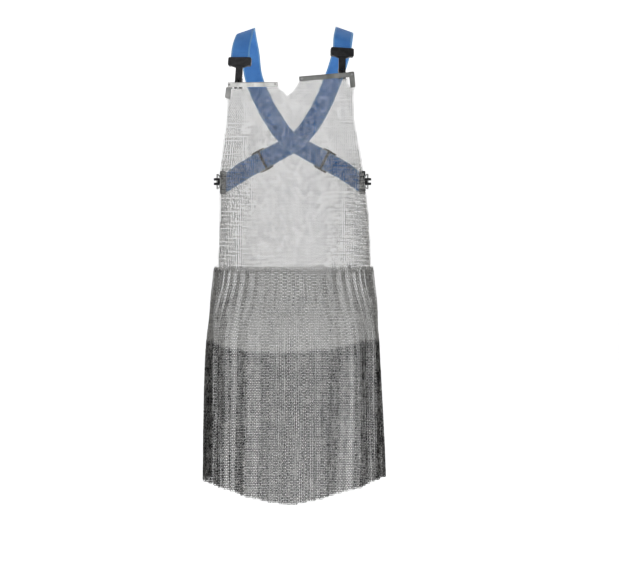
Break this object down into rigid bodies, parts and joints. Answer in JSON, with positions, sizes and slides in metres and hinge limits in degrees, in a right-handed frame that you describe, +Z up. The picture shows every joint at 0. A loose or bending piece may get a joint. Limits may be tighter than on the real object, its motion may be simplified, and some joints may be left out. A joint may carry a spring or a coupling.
{
  "type": "butcher apron",
  "caption": "Steel ring-mesh protective apron with bib and gathered skirt, hung from steel stays by plastic hooks on webbing shoulder straps that cross at the back.",
  "frame": {"origin": "midway between the wearer's shoulders, level with the tops of the shoulder straps", "axes": "+Z up, -Y out of the wearer's chest, +X to the right of someone facing the wearer"},
  "size_m": [0.3862, 0.2608, 1.0265],
  "materials": {
    "ring_mesh": "bright stainless steel wire rings, each welded shut",
    "polished_steel": "polished stainless steel channel",
    "steel_fitting": "plain stainless steel, lightly brushed",
    "black_plastic": "moulded black plastic, slightly glossy",
    "webbing": "woven blue polyester webbing with lighter selvedges"
  },
  "bodies": {
    "root": {"bib_mesh": "ring_mesh", "skirt_mesh": "ring_mesh", "waist_join_rings": "ring_mesh", "left_stay_channel": "polished_steel", "left_clamped_rings": "ring_mesh", "left_stay_tail": "steel_fitting", "left_stay_rivets": "steel_fitting", "left_stay_rod": "steel_fitting", "left_stay_lugs": "steel_fitting", "left_shoulder_strap_front": "webbing", "left_shoulder_strap_back": "webbing", "left_shoulder_strap_adjust": "webbing", "left_shoulder_strap_side": "webbing", "left_strap_return": "webbing", "left_side_ring": "steel_fitting", "right_stay_channel": "polished_steel", "right_clamped_rings": "ring_mesh", "right_stay_tail": "steel_fitting", "right_stay_rivets": "steel_fitting", "right_stay_rod": "steel_fitting", "right_stay_lugs": "steel_fitting", "right_shoulder_strap_front": "webbing", "right_shoulder_strap_back": "webbing", "right_shoulder_strap_adjust": "webbing", "right_shoulder_strap_side": "webbing", "right_strap_return": "webbing", "right_side_ring": "steel_fitting"},
    "left_front_clip": {"left_front_hook": "black_plastic", "left_front_gate_pin": "steel_fitting", "left_front_web_pin": "steel_fitting", "left_front_web_loop": "webbing"},
    "left_front_gate": {"left_front_hook_gate": "black_plastic"},
    "left_rear_clip": {"left_rear_hook": "black_plastic", "left_rear_gate_pin": "steel_fitting", "left_rear_web_pin": "steel_fitting", "left_rear_web_loop": "webbing"},
    "left_rear_gate": {"left_rear_hook_gate": "black_plastic"},
    "left_slider": {"left_strap_slider": "black_plastic"},
    "right_front_clip": {"right_front_hook": "black_plastic", "right_front_gate_pin": "steel_fitting", "right_front_web_pin": "steel_fitting", "right_front_web_loop": "webbing"},
    "right_front_gate": {"right_front_hook_gate": "black_plastic"},
    "right_rear_clip": {"right_rear_hook": "black_plastic", "right_rear_gate_pin": "steel_fitting", "right_rear_web_pin": "steel_fitting", "right_rear_web_loop": "webbing"},
    "right_rear_gate": {"right_rear_hook_gate": "black_plastic"},
    "right_slider": {"right_strap_slider": "black_plastic"}
  },
  "joints": [
    {"name": "left_front_hook_swing", "type": "hinge", "parent": "root", "child": "left_front_clip", "pos_m": [-0.11688, -0.08613, -0.116], "axis": [0.9888, -0.1495, 0], "range_deg": [-10, 30], "stiffness_Nm_per_rad": 0.05},
    {"name": "left_front_gate_press", "type": "hinge", "parent": "left_front_clip", "child": "left_front_gate", "pos_m": [-0.11526, -0.07672, -0.1051], "axis": [-0.9886, 0.1495, 0.0175], "range_deg": [0, 22], "stiffness_Nm_per_rad": 0.02},
    {"name": "left_rear_hook_swing", "type": "hinge", "parent": "root", "child": "left_rear_clip", "pos_m": [-0.16377, -0.03125, -0.32], "axis": [0, 0, 1], "range_deg": [-6, 25], "stiffness_Nm_per_rad": 0.05},
    {"name": "left_rear_gate_press", "type": "hinge", "parent": "left_rear_clip", "child": "left_rear_gate", "pos_m": [-0.15481, -0.01986, -0.32], "axis": [0, 0, -1], "range_deg": [0, 22], "stiffness_Nm_per_rad": 0.02},
    {"name": "left_strap_adjust", "type": "slide", "parent": "root", "child": "left_slider", "axis": [0.8499, -0.2075, -0.4843], "range_m": [-0.02, 0.02]},
    {"name": "right_front_hook_swing", "type": "hinge", "parent": "root", "child": "right_front_clip", "pos_m": [0.10442, -0.08617, -0.09567], "axis": [0.9842, 0.1488, 0.0958], "range_deg": [-10, 10], "stiffness_Nm_per_rad": 0.05},
    {"name": "right_front_gate_press", "type": "hinge", "parent": "right_front_clip", "child": "right_front_gate", "pos_m": [0.10356, -0.07665, -0.08478], "axis": [-0.9874, -0.1493, 0.0523], "range_deg": [0, 22], "stiffness_Nm_per_rad": 0.02},
    {"name": "right_rear_hook_swing", "type": "hinge", "parent": "root", "child": "right_rear_clip", "pos_m": [0.16055, -0.03752, -0.32], "axis": [0, 0, -1], "range_deg": [-6, 25], "stiffness_Nm_per_rad": 0.05},
    {"name": "right_rear_gate_press", "type": "hinge", "parent": "right_rear_clip", "child": "right_rear_gate", "pos_m": [0.15159, -0.02614, -0.32], "axis": [0, 0, 1], "range_deg": [0, 22], "stiffness_Nm_per_rad": 0.02},
    {"name": "right_strap_adjust", "type": "slide", "parent": "root", "child": "right_slider", "axis": [-0.8404, -0.2541, -0.4788], "range_m": [-0.02, 0.02]}
  ]
}
